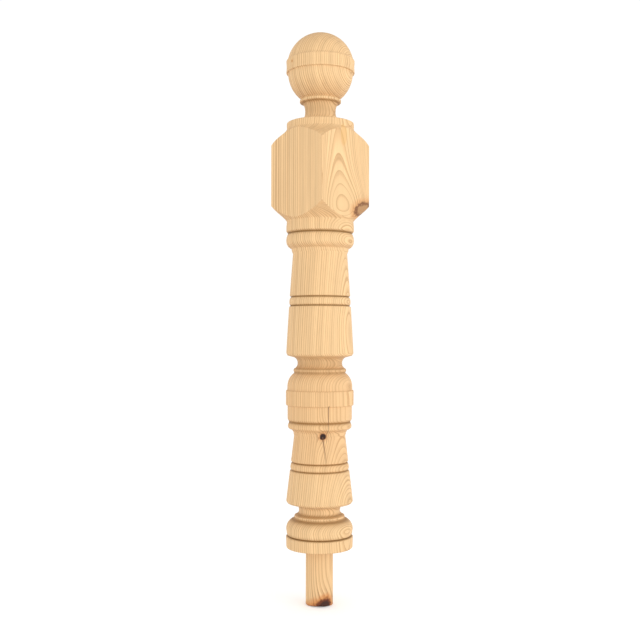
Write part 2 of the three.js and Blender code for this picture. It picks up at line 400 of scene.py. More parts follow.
def block_shoulder(drum_radius, wave, rising):
    """A cone that leaves the drum softly: share^2 / (share + ease), less wave * sin(2 pi share)."""
    start = last_point()
    share = np.linspace(0.0, 1.0, 4 * CURVE_STEPS + 1)
    eased = share**2 / (share + SHOULDER_EASE) * (1 + SHOULDER_EASE)
    radius = drum_radius + (CORNER_RADIUS - drum_radius) * eased - wave * np.sin(2 * math.pi * share)
    radius = radius if rising else radius[::-1]
    pieces.append(np.column_stack([radius, start[1] + SHOULDER_RISE * share])[1:])


fillet(radius=36.5, ease=3.6, rise=1.6, top=37.0, top_ease=1.4)
round_up(UPPER_BEAD.radius, UPPER_BEAD.lower_rise, UPPER_BEAD.lower_turn)
round_over(UPPER_BEAD.top, UPPER_BEAD.upper_rise, UPPER_BEAD.upper_turn)
quirk(radius=40.6, rise=0.7, mouth=42.3, lift=1.2)
fillet(radius=43.5, ease=1.6, rise=6.0, top=DRUM_TOP, top_ease=6.7)
BLOCK_LOW = last_point()[1]
block_shoulder(DRUM_TOP, LOWER_WAVE, True)
cut_to(CORNER_RADIUS, SQUARE_RISE)
block_shoulder(CAP_DRUM.radius, UPPER_WAVE, False)
BLOCK_HIGH = last_point()[1]
print(f"block from {BLOCK_LOW:.1f} to {BLOCK_HIGH:.1f} mm")

# %% [markdown]
# ## The neck and the ball
# Above the block come a short drum, a thin waisted neck with a collar, and a ball. The ball's lower half
# is part of a slightly smaller sphere than its upper half, and a broad band with a faint hollow along its
# middle runs round it between them.

# %% Neck and ball
CAP_FOOT = Sizes(radius=25.0, rise=1.4)
COLLAR_SHADE = (0.6, 1.8)
BALL = Sizes(lower_radius=41.7, lower_end=41.68, upper_radius=42.9, upper_start=42.0)
BALL_BAND = Sizes(step=43.4, radius=44.0, edge=0.5, hollow=0.5, half_rise=7.4, top=43.2, top_rise=1.2,
                  step_rise=1.3)
DOME_SHADE = (0.3, 14.0)

cut_to(CAP_DRUM.radius, CAP_DRUM.rise)
cut_to(CAP_DRUM.radius - CAP_DRUM.edge, CAP_DRUM.edge)
cut_to(CAP_DRUM.top, CAP_DRUM.top_rise)
cut_to(CAP_FOOT.radius, CAP_FOOT.rise)
cove(throat=19.6, lower_rise=11.6, upper_rise=10.2, top=23.8, shade=(0.22, 9.0, 13.8), turn=90.0)
darken(*COLLAR_SHADE)
fillet(radius=26.5, ease=1.4, rise=3.0, top=24.2, top_ease=1.6)
sphere_part(BALL.lower_radius, BALL.lower_end)
cut_to(BALL_BAND.step)
cut_to(BALL_BAND.radius, BALL_BAND.edge)
cut_to(BALL_BAND.radius - BALL_BAND.hollow, BALL_BAND.half_rise)
cut_to(BALL_BAND.radius, BALL_BAND.half_rise)
cut_to(BALL_BAND.top, BALL_BAND.top_rise)
cut_to(BALL.upper_start, BALL_BAND.step_rise)
sphere_part(BALL.upper_radius, 0.0)
# painted shade: the top of the ball is painted darker
darken(*DOME_SHADE)
print(f"neck and ball end at {last_point()[1]:.1f} mm")

# %% [markdown]
# ## Sanding
# A turned edge is never as sharp as the drawing: the sandpaper takes it off. The outline is walked in
# equal small steps and averaged with a short bell curve, which rounds every corner by about a quarter of
# a millimetre and leaves the long curves alone. The same walk says how near each row is to one of the
# dark places that were noted.

# %% Sanded outline
SANDING = 0.24


def bell_average(values, reach):
    """A moving average weighted by exp(-d^2 / (2 reach^2)), mirrored about the ends."""
    half = int(math.ceil(4 * reach / WALK_STEP))
    offset = np.arange(-half, half + 1) * WALK_STEP
    weight = np.exp(-offset**2 / (2 * reach**2))
    weight /= weight.sum()
    before = 2 * values[0] - values[half:0:-1]
    after = 2 * values[-1] - values[-2:-half - 2:-1]
    return np.convolve(np.concatenate([before, values, after]), weight, "valid")


drawn = np.concatenate(pieces)
walked = np.concatenate([[0.0], np.cumsum(np.hypot(*np.diff(drawn, axis=0).T))])
path = np.arange(0.0, walked[-1], WALK_STEP)
sharp_r = np.interp(path, walked, drawn[:, 0])
sharp_z = np.interp(path, walked, drawn[:, 1])
sanded_r = np.clip(bell_average(sharp_r, SANDING), 0.0, None)
sanded_z = bell_average(sharp_z, SANDING)

heading = np.unwrap(np.arctan2(np.gradient(sanded_z), np.gradient(sanded_r)))
bend = np.gradient(heading, WALK_STEP)
shade_line = np.zeros_like(path)
for dark_height, darkness, reach in dark_places:
    bottom = path[np.argmin(np.abs(sharp_z - dark_height))]
    shade_line = np.maximum(shade_line, darkness * np.exp(-((path - bottom) / reach) ** 2))
print(f"outline {path[-1]:.0f} mm long with {len(dark_places)} dark places")

# %% [markdown]
# ## Rows where they are needed
# A tight corner needs many rows of the grid and a long straight needs few. Each step of the walk asks for
# rows by how sharply it bends, the requests are added up, and the rows are cut at equal sums. That keeps
# the piece under 200,000 triangles with crisp grooves.

# %% Row heights below and above the block
ROWS_BELOW = 236
ROWS_ABOVE = 96
LONGEST_STEP = 5.0
BEND_WEIGHT = 1.6
BEND_REACH = 0.3


def rows_between(first, last, count):
    """Walk positions at equal shares of the sum of 1 / longest step + weight * sqrt(bend)."""
    inside = (path >= first) & (path <= last)
    here = path[inside]
    ask = 1 / LONGEST_STEP + BEND_WEIGHT * np.sqrt(np.abs(bell_average(bend[inside], BEND_REACH)))
    total = np.concatenate([[0.0], np.cumsum((ask[1:] + ask[:-1]) / 2 * WALK_STEP)])
    return np.interp(np.linspace(0.0, total[-1], count), total, here)


block_start = path[np.nonzero(sharp_z <= BLOCK_LOW)[0][-1]]
block_stop = path[np.nonzero(sharp_z >= BLOCK_HIGH)[0][0]]
below = rows_between(0.0, block_start, ROWS_BELOW)
above = rows_between(block_stop, path[-1], ROWS_ABOVE)
print(f"{len(below)} rows below the block and {len(above)} above it")

# %% [markdown]
# ## The square block
# The block is the part of the blank that the gouge never reached. Its section is a square with slightly
# rounded arrises, so the distance from the axis to its surface depends on the angle alone. The surface of
# the whole post is then the smaller of two distances, the turned one and the square one. A smooth minimum
# takes the last tenth of a millimetre off the crease where they meet.

# %% Columns and the square's radius
ARRIS_RADIUS = 1.3
FACE_COLUMNS = 51
ARRIS_ANGLES = np.array([-1.3, -0.84, -0.56, -0.28, 0.0, 0.28, 0.56, 0.84, 1.3])


def column_angles():
    """Angles round the post: even steps over each face, and nine close ones round each arris."""
    face_end = 45.0 - ARRIS_ANGLES[-1]
    face = np.linspace(-face_end, face_end, FACE_COLUMNS + 2)[1:-1]
    quarter = np.concatenate([face, 45.0 + ARRIS_ANGLES])
    return np.radians(np.concatenate([quarter + 90.0 * turn for turn in range(4)]))


def square_radius(angle):
    """Distance to a rounded square: half / cos a on the flats, and the far hit of a circle at the arris."""
    folded = np.abs((angle + math.pi / 4) % (math.pi / 2) - math.pi / 4)
    flat = HALF_SIDE / np.cos(folded)
    centre = HALF_SIDE - ARRIS_RADIUS
    reach = centre * (np.cos(folded) + np.sin(folded))
    arc = reach + np.sqrt(np.clip(reach**2 - 2 * centre**2 + ARRIS_RADIUS**2, 0.0, None))
    return np.where(np.tan(folded) * HALF_SIDE <= centre, flat, arc)


def smooth_min(first, second, width):
    """The smaller of two, less (width - gap)^2 / (4 width) where they are within a width of each other."""
    gap = np.clip(width - np.abs(first - second), 0.0, None)
    return np.minimum(first, second) - gap**2 / (4 * width)


angles = column_angles()
square = square_radius(angles)
print(f"{len(angles)} columns, square radius from {square.min():.2f} to {square.max():.2f} mm")

# %% [markdown]
# On the block the rows can't lie level, because the crease between the cone and the face rises towards
# each arris. Each column finds the height of its own crease first, and its rows crowd round it.

# %% Rows on the block
CREASE_WIDTH = 0.5
NEAR_CREASE = np.array([-1.0, -0.5, -0.25, -0.08, 0.08, 0.25, 0.5, 1.0])
NEAR_REACH = 1.2
NEAR_SHARE = 0.8
DRUM_GAP = 0.05
SLOPE_ROWS = 7
FACE_ROWS = 16
SHOULDER_SAMPLES = 400

shoulder_z = np.linspace(BLOCK_LOW, BLOCK_LOW + SHOULDER_RISE, SHOULDER_SAMPLES)
on_block = (path > block_start) & (path < block_stop)


def turned_radius(height):
    """The sanded outline's radius at a height on the block."""
    return np.interp(height, sanded_z[on_block], sanded_r[on_block])


def rows_around(crease, floor, side):
    """Row heights from the drum's edge to a little past the crease, as an array of rows by columns."""
    room = np.abs(crease - floor)
    near = crease + side * NEAR_CREASE[:, None] * np.minimum(NEAR_REACH, NEAR_SHARE * room)
    share = (np.arange(SLOPE_ROWS) / SLOPE_ROWS)[:, None]
    slope = floor + (near[0] - floor) * share
    return np.concatenate([slope, near])


# the lower cone passes the square at one height in each column
low_crease = np.interp(square, turned_radius(shoulder_z), shoulder_z)
high_crease = BLOCK_LOW + BLOCK_HIGH - low_crease
low_rows = rows_around(low_crease, BLOCK_LOW + DRUM_GAP, 1.0)
high_rows = rows_around(high_crease, BLOCK_HIGH - DRUM_GAP, -1.0)[::-1]
share = np.linspace(0.0, 1.0, FACE_ROWS + 2)[1:-1, None]
block_z = np.concatenate([low_rows, low_rows[-1] + (high_rows[0] - low_rows[-1]) * share, high_rows])
block_r = smooth_min(turned_radius(block_z), square[None, :], CREASE_WIDTH)
print(f"{len(block_z)} rows on the block, crease from {low_crease.min():.1f} to {low_crease.max():.1f} mm")

# %% [markdown]
# ## One closed grid
# All rows are stacked into one grid of heights by angles, closed with a single point at each end. One
# grid has no seams, so the light runs over it as over one piece of wood. The end of the spigot was
# sawn and knocked about, so it is bowed towards the camera and away from it, with small waves.

# %% Build the post
CHIP_REACH = 5.0
END_LIFT = 0.8
END_BOW = 0.5
# waves round the end: how many, how high, and their start in radians
END_WAVES = ((5, 0.12, 0.6), (9, 0.1, 2.1))


def level_rows(line, positions):
    """A number along the outline at some walk positions, repeated for every column."""
    return np.repeat(np.interp(positions, path, line)[:, None], len(angles), axis=1)


def rough_end(r, z):
    """z + fade (lift + (bow cos 2a + the sum of high sin(n a + start)) r / radius); the bow faces the eye."""
    fade = np.clip((SPIGOT_END + CHIP_REACH - z) / CHIP_REACH, 0.0, 1.0)
    outward = np.clip(r / SPIGOT.radius, 0.0, 1.0)
    waves = sum(high * np.sin(count * angles + start) for count, high, start in END_WAVES)
    bow = END_BOW * np.cos(2 * (angles + math.pi / 2 - CAMERA_AZIMUTH))
    return z + fade * (END_LIFT + (waves + bow) * outward)


def grid_mesh(name, x, y, z):
    """Vertices row by row, quads between neighbours with the last column joined to the first, two fans."""
    rows, columns = x.shape
    grid = np.column_stack([x.ravel(), y.ravel(), z.ravel()])
    ends = np.array([[0.0, 0.0, z[0].mean()], [0.0, 0.0, z[-1].mean()]])
    vertices = np.concatenate([grid, ends])
    row, column = np.meshgrid(np.arange(rows - 1), np.arange(columns), indexing="ij")
    nxt = (column + 1) % columns
    quads = np.stack([row * columns + column, row * columns + nxt, (row + 1) * columns + nxt,
                      (row + 1) * columns + column], axis=-1).reshape(-1, 4)
    ring = np.arange(columns)
    foot = np.column_stack([np.full(columns, rows * columns), (ring + 1) % columns, ring])
    top_start = (rows - 1) * columns
    top = np.column_stack([np.full(columns, rows * columns + 1), top_start + ring,
                           top_start + (ring + 1) % columns])
    mesh = bpy.data.meshes.new(name)
    mesh.from_pydata(vertices.tolist(), [], quads.tolist() + foot.tolist() + top.tolist())
    mesh.shade_smooth()
    mesh.update()
    return mesh


low_r, low_z = (level_rows(line, below[1:]) for line in (sanded_r, sanded_z))
high_r, high_z = (level_rows(line, above[:-1]) for line in (sanded_r, sanded_z))
grid_r = np.concatenate([low_r, block_r, high_r])
grid_z = rough_end(grid_r, np.concatenate([low_z, block_z, high_z]))
post_mesh = grid_mesh("turned_post", MM * grid_r * np.cos(angles), MM * grid_r * np.sin(angles), MM * grid_z)
triangles = sum(len(face.vertices) - 2 for face in post_mesh.polygons)
print(f"post: {len(post_mesh.vertices)} vertices, {triangles} triangles")

# %% [markdown]
# ## Numbers for the finish
# Two numbers travel with each vertex: how near it is to a dark place such as a groove, which the finish
# paints darker as painted shade and, in the grooves, as dust, and whether it is on a planed face of the
# block, where the lathe left no marks. A material could find a groove by its shape with an occlusion shader,
# but that can't be exported, and a stored number can.

# %% Vertex numbers for the finish
def add_number(mesh, name, values):
    """Store one number for each vertex of the grid, and zero for its two end points."""
    layer = mesh.attributes.new(name, "FLOAT", "POINT")
    layer.data.foreach_set("value", np.concatenate([values.ravel(), [0.0, 0.0]]).astype(np.float32))


low_shade, high_shade = (level_rows(shade_line, rows) for rows in (below[1:], above[:-1]))
shade = np.concatenate([low_shade, np.zeros_like(block_r), high_shade])
planed = np.zeros_like(grid_r)
planed[len(low_r):len(low_r) + len(block_r)] = turned_radius(block_z) > square[None, :]
add_number(post_mesh, "groove", shade)
add_number(post_mesh, "planed", planed)
print(f"{np.mean(shade > 0.05):.0%} of the vertices are shaded, {np.mean(planed):.0%} are planed")

post = add_object("turned_post", post_mesh)
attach(post, "root")
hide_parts("newel_post")

# %% [markdown]
# ## Node tools
# The wood is built from small shader groups. A few helpers keep them readable: one adds a node and joins
# its inputs, the others stand for one kind of arithmetic each.

# %% Node tools
GATE_CORE = 0.7


class Board:
    """One node tree, with helpers that add a node, join its inputs and give back its output."""

    def __init__(self, tree):
        self.tree = tree

    def join(self, source, socket):
        if isinstance(source, bpy.types.NodeSocket):
            self.tree.links.new(source, socket)
        else:
            socket.default_value = source

    def node(self, kind, *values, **settings):
        made = self.tree.nodes.new(kind)
        for key, value in settings.items():
            setattr(made, key, value)
        for place, value in enumerate(values):
            self.join(value, made.inputs[place])
        return made

    def math(self, operation, *values):
        return self.node("ShaderNodeMath", *values, operation=operation).outputs[0]

    def add(self, total, *others):
        for other in others:
            total = self.math("ADD", total, other)
        return total

    def less(self, total, *others):
        for other in others:
            total = self.math("SUBTRACT", total, other)
        return total

    def times(self, product, *others):
        for other in others:
            product = self.math("MULTIPLY", product, other)
        return product

    def vector(self, operation, *values):
        made = self.node("ShaderNodeVectorMath", *values, operation=operation)
        number = operation in ("LENGTH", "DOT_PRODUCT", "DISTANCE")
        return made.outputs["Value" if number else "Vector"]

    def scaled(self, vector, scale):
        made = self.node("ShaderNodeVectorMath", vector, operation="SCALE")
        self.join(scale, made.inputs["Scale"])
        return made.outputs["Vector"]

    def parts(self, vector):
        return self.node("ShaderNodeSeparateXYZ", vector).outputs

    def ramp(self, value, start, stop, low=0.0, high=1.0, kind="SMOOTHSTEP"):
        made = self.node("ShaderNodeMapRange", interpolation_type=kind, clamp=True)
        for name, amount in (("Value", value), ("From Min", start), ("From Max", stop),
                             ("To Min", low), ("To Max", high)):
            self.join(amount, made.inputs[name])
        return made.outputs["Result"]

    def fall(self, value, start, stop):
        return self.ramp(value, start, stop, 1.0, 0.0)

    def gate(self, position, centre, reach):
        """One near a centre, and zero from a reach away."""
        return self.fall(self.vector("DISTANCE", position, centre), GATE_CORE * reach, reach)

    def noise(self, position, waves, detail=2.0, roughness=0.5):
        """Noise with so many waves for each millimetre across, deep and up."""
        place = self.vector("MULTIPLY", position, waves)
        made = self.node("ShaderNodeTexNoise", place, noise_dimensions="3D")
        for name, amount in (("Scale", 1.0), ("Detail", detail), ("Roughness", roughness)):
            self.join(amount, made.inputs[name])
        return made.outputs["Fac"]

    def mix(self, amount, first, second, blend="MIX"):
        made = self.node("ShaderNodeMix", data_type="RGBA", blend_type=blend)
        self.join(amount, made.inputs["Factor"])
        self.join(first, made.inputs[6])
        self.join(second, made.inputs[7])
        return made.outputs[2]

    def use(self, group, **values):
        made = self.node("ShaderNodeGroup", node_tree=group)
        for key, value in values.items():
            self.join(value, made.inputs[key.title()])
        return made.outputs


def new_group(name, vectors, numbers, results):
    """A shader group with named sockets, and the board, entry and exit to fill it with."""
    tree = bpy.data.node_groups.new(name, "ShaderNodeTree")
    for labels, way, kind in ((vectors, "INPUT", "NodeSocketVector"), (numbers, "INPUT", "NodeSocketFloat"),
                              (results, "OUTPUT", "NodeSocketFloat")):
        for label in labels:
            tree.interface.new_socket(name=label, in_out=way, socket_type=kind)
    board = Board(tree)
    entry = board.node("NodeGroupInput").outputs
    leave = board.node("NodeGroupOutput").inputs
    return tree, board, entry, leave


print("node tools ready")

# %% [markdown]
# ## Branches
# A knot is a branch that the saw cut through. Every year's ring ran out along the branch, so near it a
# ring is found farther from the pith than elsewhere, and the lines on the surface wrap round the knot.
# The group measures the distance from the branch's axis and how far the rings are pulled out there.

# %% Branch group
BRANCH_SQUASH = (1.0, 1.0, 0.4)


def branch_group():
    """Pull = depth * exp(-(offset / reach)^2), the offset being square to the axis and its height shrunk."""
    tree, board, entry, leave = new_group(
        "branch", ("Position", "Centre", "Axis"), ("Reach", "Depth"), ("Pull", "Distance"))
    arm = board.vector("SUBTRACT", entry["Position"], entry["Centre"])
    along = board.vector("DOT_PRODUCT", arm, entry["Axis"])
    offset = board.vector("SUBTRACT", arm, board.scaled(entry["Axis"], along))
    shrunk = board.vector("LENGTH", board.vector("MULTIPLY", offset, BRANCH_SQUASH))
    near = board.math("POWER", board.math("DIVIDE", shrunk, entry["Reach"]), 2.0)
    fading = board.math("EXPONENT", board.times(near, -1.0))
    board.join(board.times(fading, entry["Depth"]), leave["Pull"])
    board.join(board.vector("LENGTH", offset), leave["Distance"])
    return tree


branch = branch_group()
print("branch group has", len(branch.nodes), "nodes")

# %% [markdown]
# ## Growth rings
# Pine shows a pale band of spring wood and a narrow darker line of summer wood for every year. All the
# patterns in the photograph come from one rule: the distance from the pith, which is behind the post on
# its left. The lines stand upright on the block's left face, lean in the coves as the surface moves in
# and out, and close into ovals on the right, where the surface is farthest from the pith. The years grow
# narrower outwards, so the ring number rises slowly at first and then ever faster, and no two years are
# quite the same width. On the block's right face a dip in the rings, which a branch left there, makes
# the tall pointed arches. On the right of the lower shaft the rings lean outwards as they rise.

# %% Ring sizes
PITH = (-79.0, -14.0)
PITH_SHIFT = -15.0
SHIFT_RISE = (28.0, 70.0)
BLOCK_RISE = (370.0, 440.0)
BLOCK_FALL = (535.0, 570.0)
RING_WOBBLE = 1.8
WOBBLE_WAVES = (0.016, 0.016, 0.0045)
WOBBLE_DETAIL = 1.5
INNER_RING = 3.8
CLOSE_START = 109.5
CLOSE_REACH = 16.0
CLOSE_RINGS = 4.9
RING_PHASE = 0.12
YEAR_PACE = 0.37
YEAR_SHIFT = 3.3
YEAR_SPREAD = 0.8
LATE_POWER = 3.0
LATE_END = 0.88
WEAKEST_YEAR = 0.6
DIP = Sizes(side=-14.0, height=438.0, depth=5.6, width=40.0, tall=68.0, blunt=8.0,
            from_x=(28.0, 44.0), from_y=(-52.0, -36.0), from_z=(402.0, 432.0))
LEAN = Sizes(way=(0.731, 0.682, 0.0), rise=(48.0, 150.0), fall=(190.0, 300.0), side=(-5.0, 42.0), depth=6.0)
print(f"pith at {PITH} mm, rings {INNER_RING} mm wide near it")

# %% [markdown]
# The ring number counts the years out from the pith. Its whole part is the year and its fraction is the
# season: the colour darkens slowly through the summer and turns pale at once when winter has passed.

# %% Ring group
def ring_distance(board, position, pull, wobble):
    """Distance to the leaning, wobbling pith, less the dip, the pull of the knots and the lean."""
    x, y, z = board.parts(position)
    beside_block = board.times(board.ramp(z, *BLOCK_RISE), board.fall(z, *BLOCK_FALL))
    shift = board.times(board.less(board.ramp(z, *SHIFT_RISE), beside_block), PITH_SHIFT)
    from_pith = board.node("ShaderNodeCombineXYZ", board.less(x, PITH[0]), board.less(y, PITH[1], shift))
    slow = board.noise(position, WOBBLE_WAVES, WOBBLE_DETAIL)
    distance = board.vector("LENGTH", from_pith.outputs["Vector"])
    distance = board.add(distance, board.times(board.less(slow, 0.5), wobble))

    aside = board.math("DIVIDE", board.less(y, DIP.side), DIP.width)
    above_it = board.math("POWER", board.less(z, DIP.height), 2.0)
    blunted = board.less(board.math("SQRT", board.add(above_it, DIP.blunt**2)), DIP.blunt)
    off = board.add(board.math("POWER", aside, 2.0), board.math("DIVIDE", blunted, DIP.tall))
    dip = board.times(board.math("EXPONENT", board.times(off, -1.0)), DIP.depth,
                      board.ramp(x, *DIP.from_x), board.ramp(z, *DIP.from_z), board.ramp(y, *DIP.from_y))
    sideways = board.vector("DOT_PRODUCT", position, LEAN.way)
    lean = board.times(board.ramp(z, *LEAN.rise), board.fall(z, *LEAN.fall),
                       board.ramp(sideways, *LEAN.side), LEAN.depth)
    return board.less(distance, dip, pull, lean)


def ring_group():
    """Ring number = d / width + n exp((d - start) / reach) + noise; late = fraction^3, then a quick fall."""
    tree, board, entry, leave = new_group(
        "growth_rings", ("Position",), ("Pull", "Wobble"), ("Late", "Tone"))
    distance = ring_distance(board, entry["Position"], entry["Pull"], entry["Wobble"])
    closer = board.math("EXPONENT", board.math("DIVIDE", board.less(distance, CLOSE_START), CLOSE_REACH))
    rings = board.add(board.math("DIVIDE", distance, INNER_RING), board.times(closer, CLOSE_RINGS))
    year = board.node("ShaderNodeTexNoise", noise_dimensions="1D")
    board.join(board.add(board.times(rings, YEAR_PACE), YEAR_SHIFT), year.inputs["W"])
    board.join(1.0, year.inputs["Detail"])
    rings = board.add(rings, board.times(year.outputs["Fac"], YEAR_SPREAD), RING_PHASE)
    season = board.math("FRACT", rings)
    late = board.times(board.math("POWER", season, LATE_POWER), board.fall(season, LATE_END, 1.0))
    white = board.node("ShaderNodeTexWhiteNoise", noise_dimensions="1D")
    board.join(board.math("FLOOR", rings), white.inputs["W"])
    strength = board.ramp(white.outputs["Value"], 0.0, 1.0, WEAKEST_YEAR, 1.0, "LINEAR")
    board.join(board.times(late, strength), leave["Late"])
    board.join(white.outputs["Value"], leave["Tone"])
    return tree


rings_tree = ring_group()
print("ring group has", len(rings_tree.nodes), "nodes")

# %% [markdown]
# ## Fibres and tool marks
# Between the rings the wood has fine streaks along the grain. On the turned parts the tool and the
# sandpaper left faint lines round the post, which the planed block doesn't have. Streaks and lines are
# noise, stretched hard in one direction.

# %% Fibre group
FINE_WAVES = (1.5, 1.5, 0.035)
BROAD_WAVES = (0.11, 0.11, 0.008)
MARK_WAVES = (0.03, 0.03, 2.4)
STREAK_ROUGHNESS = 0.6


def fibre_group():
    """Streak and broad = noise stretched along the post; marks = noise stretched round it, off the block."""
    tree, board, entry, leave = new_group(
        "fibres", ("Position",), ("Planed",), ("Streak", "Broad", "Marks"))
    turned = board.noise(entry["Position"], MARK_WAVES, 2.0, STREAK_ROUGHNESS)
    marks = board.node("ShaderNodeMix", data_type="FLOAT")
    for place, value in ((0, entry["Planed"]), (2, turned), (3, 0.5)):
        board.join(value, marks.inputs[place])
    board.join(board.noise(entry["Position"], FINE_WAVES, 3.0, STREAK_ROUGHNESS), leave["Streak"])
    board.join(board.noise(entry["Position"], BROAD_WAVES), leave["Broad"])
    board.join(marks.outputs[0], leave["Marks"])
    return tree


fibres = fibre_group()
print("fibre group has", len(fibres.nodes), "nodes")

# %% [markdown]
# ## Cracks
# Wood splits along the grain, in a plane that points at the post's axis. Seen from outside the split is a
# thin dark line. One runs down over the middle mouldings to a small black knot, and a fainter one goes on
# below it. A crack is the place where the distance from an upright plane is almost nothing.

# %% Crack group
CRACK_CORE = 0.3
CRACK_FRONT = 8.0
CRACK_FADE = 0.6


def crack_group():
    """Mask = 1 where |normal . position + slope (top - z) - offset| is under the width, fading downwards."""
    tree, board, entry, leave = new_group(
        "crack", ("Position", "Normal"), ("Offset", "Slope", "Bottom", "Top", "Width"), ("Mask",))
    x, y, z = board.parts(entry["Position"])
    bottom, top, width = entry["Bottom"], entry["Top"], entry["Width"]
    across = board.vector("DOT_PRODUCT", entry["Position"], entry["Normal"])
    drift = board.times(board.less(top, z), entry["Slope"])
    off = board.math("ABSOLUTE", board.less(board.add(across, drift), entry["Offset"]))
    line = board.fall(off, board.times(width, CRACK_CORE), width)
    inside = board.times(board.math("GREATER_THAN", z, bottom), board.math("LESS_THAN", z, top))
    front = board.math("GREATER_THAN", x, CRACK_FRONT)
    height = board.math("DIVIDE", board.less(z, bottom), board.less(top, bottom))
    soft = board.math("POWER", board.math("MAXIMUM", height, 0.0), CRACK_FADE)
    board.join(board.times(line, inside, front, soft), leave["Mask"])
    return tree


crack = crack_group()
print("crack group has", len(crack.nodes), "nodes")

# %% [markdown]
# ## The knots and cracks of this post
# Four branches reach the surface that the photograph shows: one at the block's lower right corner, a
# small black one at the foot of the middle mouldings, one in the spigot and a faint one in the ball's
# band. Each has a place and direction, a reach and depth for the rings round it, and its own colours.

# %% Knots and cracks
KNOTS = {
    "corner": Sizes(centre=(45.0, 32.0, 433.0), axis=(-0.54, 0.80, 0.26), reach=20.0, depth=6.0, radius=9.5,
                    rim=(0.2, 0.08, 0.03, 1.0), heart=(0.44, 0.24, 0.11, 1.0), halo=0.6),
    "pin": Sizes(centre=(25.8, -21.7, 145.5), axis=(0.78, -0.62, 0.1), reach=7.0, depth=3.6, radius=4.2,
                 rim=(0.07, 0.02, 0.008, 1.0), heart=(0.02, 0.007, 0.004, 1.0), halo=0.5),
    "spigot": Sizes(centre=(15.6, -7.0, -72.0), axis=(0.93, 0.13, 0.34), reach=12.0, depth=6.0, radius=9.4,
                    rim=(0.15, 0.034, 0.008, 1.0), heart=(0.05, 0.012, 0.004, 1.0), halo=1.0),
    "ball": Sizes(centre=(-9.5, -42.7, 618.5), axis=(-0.217, -0.976, 0.0), reach=6.0, depth=1.0, radius=1.3,
                  rim=(0.6, 0.32, 0.12, 1.0), heart=(0.5, 0.24, 0.08, 1.0), halo=0.4),
}
# how dark each crack is, and its plane and ends
CRACKS = (
    (0.95, dict(normal=(0.5225, 0.8526, 0), offset=0.0, slope=0.0, bottom=138.0, top=184.0, width=0.8)),
    (0.8, dict(normal=(0.6088, 0.7934, 0), offset=-1.71, slope=-0.1168, bottom=112.0, top=145.0, width=1.4)),
)
print(len(KNOTS), "knots and", len(CRACKS), "cracks")

# %% [markdown]
# ## The wood's colour
# Colour goes from pale spring wood to darker summer wood, with each year a little different. The lines
# look stronger where the surface faces down. Surfaces that face up or down are browner, partly because end
# grain is browner, as light sinks into its open fibres, and partly as painted shade. The grooves, the hollows
# and the ball's top are painted darker: painted shade, and dust in the grooves. The middle of the post is a
# little warmer, a drop of resin is yellow, and the sawn end is stained.

# %% Wood colour
PALE = (0.825, 0.55, 0.282, 1.0)
DARK = (0.34, 0.15, 0.04, 1.0)
# The next two browns are partly painted shade: on surfaces facing up and down, and in the hollows.
END_GRAIN_AND_SHADE_BROWN = (0.44, 0.22, 0.085, 1.0)
SHADE_AND_DUST_BROWN = (0.22, 0.1, 0.014, 1.0)
HALO_ORANGE = (0.62, 0.26, 0.08, 1.0)
RESIN_YELLOW = (0.72, 0.4, 0.11, 1.0)
STAIN_BROWN = (0.42, 0.16, 0.05, 1.0)
# ramps: from and to in the number that is read, then from and to in the result
LINES_BELOW = (-0.1, -0.6, 0.95, 1.5)
END_ABOVE = (0.3, 1.0, 0.0, 0.8)
END_BELOW = (-0.25, -0.85)
YEAR_LEVEL = (0.0, 1.0, 0.93, 1.05)
STREAK_LEVEL = (0.25, 0.75, 0.94, 1.06)
BROAD_LEVEL = (0.3, 0.7, 0.95, 1.04)
STAIN_FALL = (SPIGOT_END, SPIGOT_END + 5.5)
END_GRAIN_AND_SHADE_SHARE, SHADE_AND_DUST_SHARE, WARM_SHARE, RESIN_SHARE, STAIN_SHARE = 0.25, 0.95, 0.13, 0.4, 0.7
WARM_CENTRE = (0.0, 0.0, 165.0)
WARM_REACH = 92.0
RESIN_SQUASH = (1.0, 1.0, 0.4)
RESIN_CENTRE = (45.0, -5.0, 209.6)
RESIN_REACH = 6.5


def wood_colour(board, position, rings, grain):
    """Pale to dark by the late number, times three levels, and then the browner places one by one."""
    facing = board.parts(board.node("ShaderNodeNewGeometry").outputs["Normal"])[2]
    late = board.times(rings["Late"], board.ramp(facing, *LINES_BELOW))
    level = board.times(board.ramp(rings["Tone"], *YEAR_LEVEL, "LINEAR"),
                        board.ramp(grain["Streak"], *STREAK_LEVEL, "LINEAR"),
                        board.ramp(grain["Broad"], *BROAD_LEVEL, "LINEAR"))
    grey = board.node("ShaderNodeCombineColor", level, level, level).outputs[0]
    colour = board.mix(1.0, board.mix(late, PALE, DARK), grey, "MULTIPLY")

    # the groove number: painted shade in the hollows and on the ball's top, with dust in the grooves
    groove = board.node("ShaderNodeAttribute", attribute_name="groove").outputs["Fac"]
    # surfaces facing up and down: end grain's own brown, and partly painted shade
    end_grain_and_shade = board.add(board.ramp(facing, *END_ABOVE), board.ramp(facing, *END_BELOW))
    warm = board.gate(position, WARM_CENTRE, WARM_REACH)
    resin = board.gate(board.vector("MULTIPLY", position, RESIN_SQUASH), RESIN_CENTRE, RESIN_REACH)
    stain = board.fall(board.parts(position)[2], *STAIN_FALL)
    for mask, share, brown in ((end_grain_and_shade, END_GRAIN_AND_SHADE_SHARE, END_GRAIN_AND_SHADE_BROWN), (groove, SHADE_AND_DUST_SHARE, SHADE_AND_DUST_BROWN),
                               (warm, WARM_SHARE, HALO_ORANGE), (resin, RESIN_SHARE, RESIN_YELLOW),
                               (stain, STAIN_SHARE, STAIN_BROWN)):
        colour = board.mix(board.times(mask, share), colour, brown)
    return colour


print("wood colour from", PALE[:3], "to", DARK[:3])

